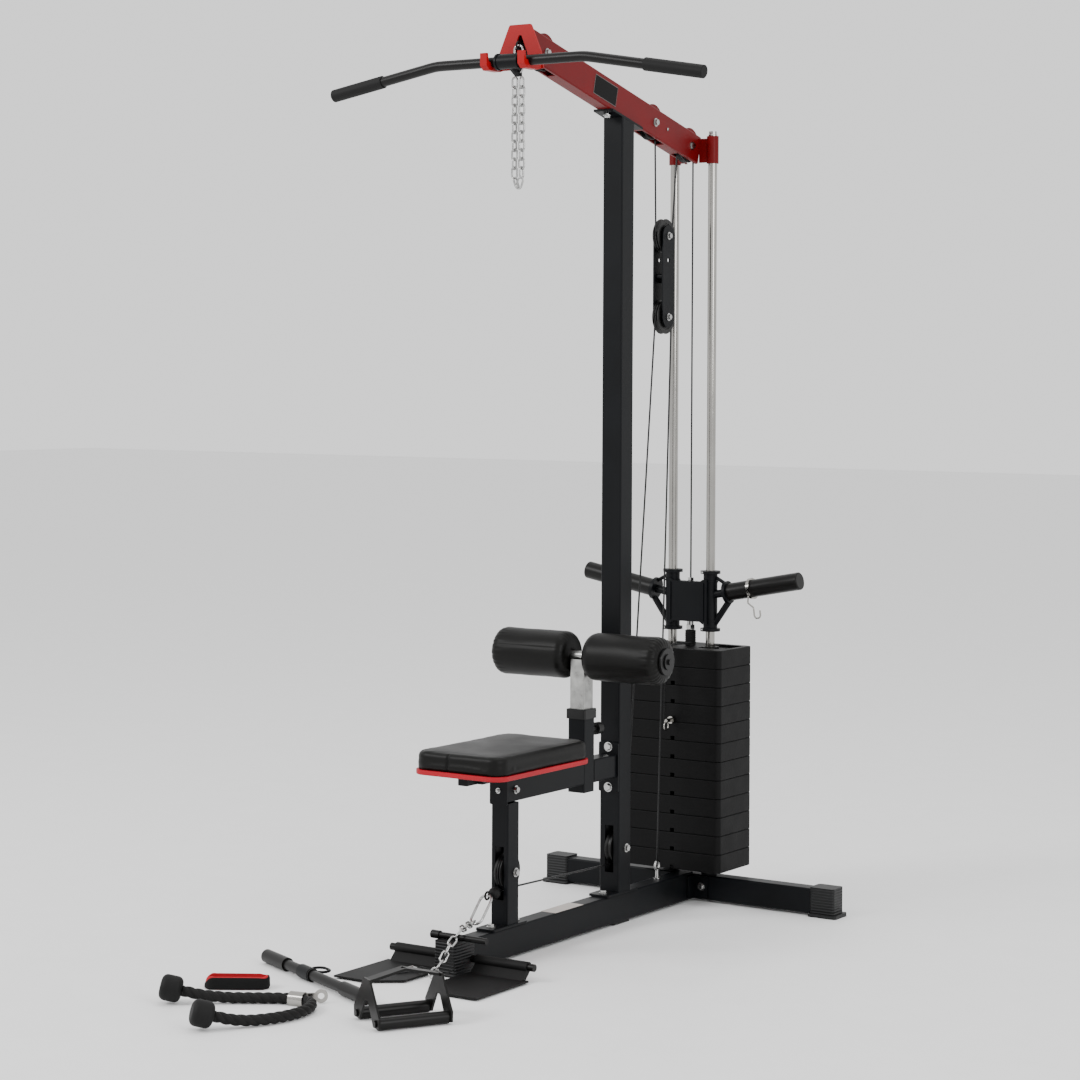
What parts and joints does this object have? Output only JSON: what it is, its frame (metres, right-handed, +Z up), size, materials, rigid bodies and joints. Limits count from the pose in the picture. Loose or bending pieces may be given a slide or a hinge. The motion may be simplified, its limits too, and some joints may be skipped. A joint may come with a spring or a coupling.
{
  "type": "multi station home gym",
  "caption": "Lat pulldown and low row machine: inclined boom with lat bar, weight stack on guide rods, padded seat with thigh rollers, foot plates and cable attachments.",
  "frame": {"origin": "on the floor under the centre of the upright, at the underside of the base line", "axes": "+Z up, +Y towards the weight stack, the way the seated user faces, +X the user's right"},
  "size_m": [1.113, 2.0041, 2.319],
  "materials": {
    "black_steel": "satin black powder coat",
    "red_steel": "red powder coat",
    "chrome": "polished chrome",
    "zinc": "bright zinc plate",
    "rubber": "moulded black rubber",
    "plastic": "black nylon",
    "vinyl": "moulded black plastic shell",
    "leather": "black upholstery vinyl",
    "red_edge": "red edge binding",
    "cable": "black coated wire cable",
    "rope": "twisted black nylon rope",
    "webbing": "black webbing with red lining"
  },
  "bodies": {
    "machine": {"bar_cradle": "red_steel", "base_tube": "black_steel", "cable_end_top": "rubber", "flange_plates": "black_steel", "foot_bars": "black_steel", "frame_bolts": "zinc", "guide_rods": "chrome", "knee_collar": "plastic", "knee_sleeve": "black_steel", "lower_cable": "cable", "rear_stabilizer": "black_steel", "rod_bracket": "red_steel", "rubber_shoes": "rubber", "seat_board": "red_edge", "seat_frame": "black_steel", "seat_pad": "leather", "seat_post": "black_steel", "top_boom": "red_steel", "upper_cable": "cable", "upright": "black_steel", "weight_plates_resting": "vinyl"},
    "carriage": {"weight_plates_lifted": "vinyl", "stem": "zinc", "stem_bumper": "rubber", "carriage_frame": "black_steel", "weight_horns": "black_steel", "carriage_cover": "black_steel", "pin_lanyard": "plastic"},
    "selector": {"selector_pin": "zinc"},
    "collar": {"spring_collar": "zinc"},
    "block": {"block_plates": "black_steel"},
    "pulley_block_low": {"pulley_block_low": "plastic"},
    "pulley_block_top": {"pulley_block_top": "plastic"},
    "pulley_front": {"pulley_front": "plastic"},
    "pulley_middle": {"pulley_middle": "plastic"},
    "pulley_rear": {"pulley_rear": "plastic"},
    "pulley_seat_post": {"pulley_seat_post": "plastic"},
    "pulley_upright": {"pulley_upright": "plastic"},
    "swivel_body": {"bar_swivel": "black_steel", "top_carabiner": "zinc"},
    "bar_body": {"lat_bar": "black_steel", "bar_grips": "rubber"},
    "hang_chain": {"top_chain": "zinc"},
    "low_end": {"cable_end_low": "rubber", "low_chain": "zinc"},
    "knee_holder": {"knee_post": "chrome", "roller_end_discs": "plastic"},
    "roller_l": {"roller_left": "leather"},
    "roller_r": {"roller_right": "leather"},
    "knob": {"spring_pin": "rubber"},
    "foot_l": {"foot_plate_left": "black_steel", "foot_lock_pin": "zinc"},
    "foot_r": {"foot_plate_right": "black_steel"},
    "rope_attachment": {"rope_cord": "rope", "rope_ends": "rubber", "rope_swivel": "chrome"},
    "strap": {"ankle_strap": "webbing"},
    "bar_attachment": {"short_bar": "black_steel"},
    "bar_attachment_loop": {"short_bar_swivel": "black_steel"},
    "row_attachment": {"row_handle": "black_steel"}
  },
  "joints": [
    {"name": "carriage_lift", "type": "slide", "parent": "machine", "child": "carriage", "axis": [0, 0, 1], "range_m": [0, 0.62], "deforming": ["upper_cable"]},
    {"name": "block_travel", "type": "slide", "parent": "machine", "child": "block", "axis": [0, 0, 1], "range_m": [-0.31, 0], "deforming": ["lower_cable", "upper_cable"]},
    {"name": "low_pull", "type": "slide", "parent": "machine", "child": "low_end", "axis": [0, -0.866, 0.5], "range_m": [0, 0.62], "deforming": ["lower_cable"]},
    {"name": "selector_pull", "type": "slide", "parent": "carriage", "child": "selector", "axis": [0, -1, 0], "range_m": [0, 0.12], "deforming": ["pin_lanyard"]},
    {"name": "collar_slide", "type": "slide", "parent": "carriage", "child": "collar", "axis": [0.9828, 0, 0.1848], "range_m": [-0.04, 0.13]},
    {"name": "pulley_front_spin", "type": "hinge", "parent": "machine", "child": "pulley_front", "pos_m": [0, -0.378, 2.2563], "axis": [1, 0, 0], "continuous": true},
    {"name": "pulley_middle_spin", "type": "hinge", "parent": "machine", "child": "pulley_middle", "pos_m": [0, 0.152, 2.1238], "axis": [1, 0, 0], "continuous": true},
    {"name": "pulley_rear_spin", "type": "hinge", "parent": "machine", "child": "pulley_rear", "pos_m": [0, 0.346, 2.0753], "axis": [1, 0, 0], "continuous": true},
    {"name": "pulley_block_top_spin", "type": "hinge", "parent": "block", "child": "pulley_block_top", "pos_m": [0, 0.233, 1.823], "axis": [1, 0, 0], "continuous": true},
    {"name": "pulley_block_low_spin", "type": "hinge", "parent": "block", "child": "pulley_block_low", "pos_m": [0, 0.233, 1.603], "axis": [1, 0, 0], "continuous": true},
    {"name": "pulley_upright_spin", "type": "hinge", "parent": "machine", "child": "pulley_upright", "pos_m": [0, 0.006, 0.199], "axis": [1, 0, 0], "continuous": true},
    {"name": "pulley_seat_post_spin", "type": "hinge", "parent": "machine", "child": "pulley_seat_post", "pos_m": [0, -0.507, 0.213], "axis": [1, 0, 0], "continuous": true},
    {"name": "bar_lift", "type": "slide", "parent": "machine", "child": "swivel_body", "axis": [0, 0, 1], "range_m": [0, 0.003]},
    {"name": "bar_turn", "type": "hinge", "parent": "swivel_body", "child": "bar_body", "pos_m": [0, -0.517, 2.222], "axis": [1, 0, 0], "range_deg": [-30, 30]},
    {"name": "chain_swing", "type": "hinge", "parent": "swivel_body", "child": "hang_chain", "pos_m": [0, -0.475, 2.198], "axis": [1, 0, 0], "range_deg": [-14, 3]},
    {"name": "knee_height", "type": "slide", "parent": "machine", "child": "knee_holder", "axis": [0, 0, 1], "range_m": [-0.08, 0]},
    {"name": "roller_left_spin", "type": "hinge", "parent": "knee_holder", "child": "roller_l", "pos_m": [-0.14, -0.169, 0.719], "axis": [1, 0, 0], "continuous": true},
    {"name": "roller_right_spin", "type": "hinge", "parent": "knee_holder", "child": "roller_r", "pos_m": [0.14, -0.169, 0.719], "axis": [1, 0, 0], "continuous": true},
    {"name": "knee_pin_pull", "type": "slide", "parent": "machine", "child": "knob", "axis": [0, 1, 0], "range_m": [0, 0.012]},
    {"name": "foot_plate_left_fold", "type": "hinge", "parent": "machine", "child": "foot_l", "pos_m": [-0.12, -0.7, 0.035], "axis": [1, 0, 0], "range_deg": [-55, 0]},
    {"name": "foot_plate_right_fold", "type": "hinge", "parent": "machine", "child": "foot_r", "pos_m": [0.12, -0.7, 0.035], "axis": [1, 0, 0], "range_deg": [-55, 0]},
    {"name": "rope_lift", "type": "slide", "parent": "machine", "child": "rope_attachment", "axis": [0, 0, 1], "range_m": [0, 0.1]},
    {"name": "strap_lift", "type": "slide", "parent": "machine", "child": "strap", "axis": [0, 0, 1], "range_m": [0, 0.1]},
    {"name": "short_bar_lift", "type": "slide", "parent": "machine", "child": "bar_attachment", "axis": [0, 0, 1], "range_m": [0, 0.1]},
    {"name": "short_bar_swivel_turn", "type": "hinge", "parent": "bar_attachment", "child": "bar_attachment_loop", "pos_m": [-0.25028, -0.98462, 0.017], "axis": [0.911, -0.4125, 0], "range_deg": [0, 60]},
    {"name": "row_handle_lift", "type": "slide", "parent": "machine", "child": "row_attachment", "axis": [0, 0, 1], "range_m": [0, 0.1]}
  ],
  "couplings": [
    {"joint": "block_travel", "follows": "carriage_lift", "ratio": -0.5},
    {"joint": "low_pull", "follows": "carriage_lift", "ratio": 1}
  ]
}
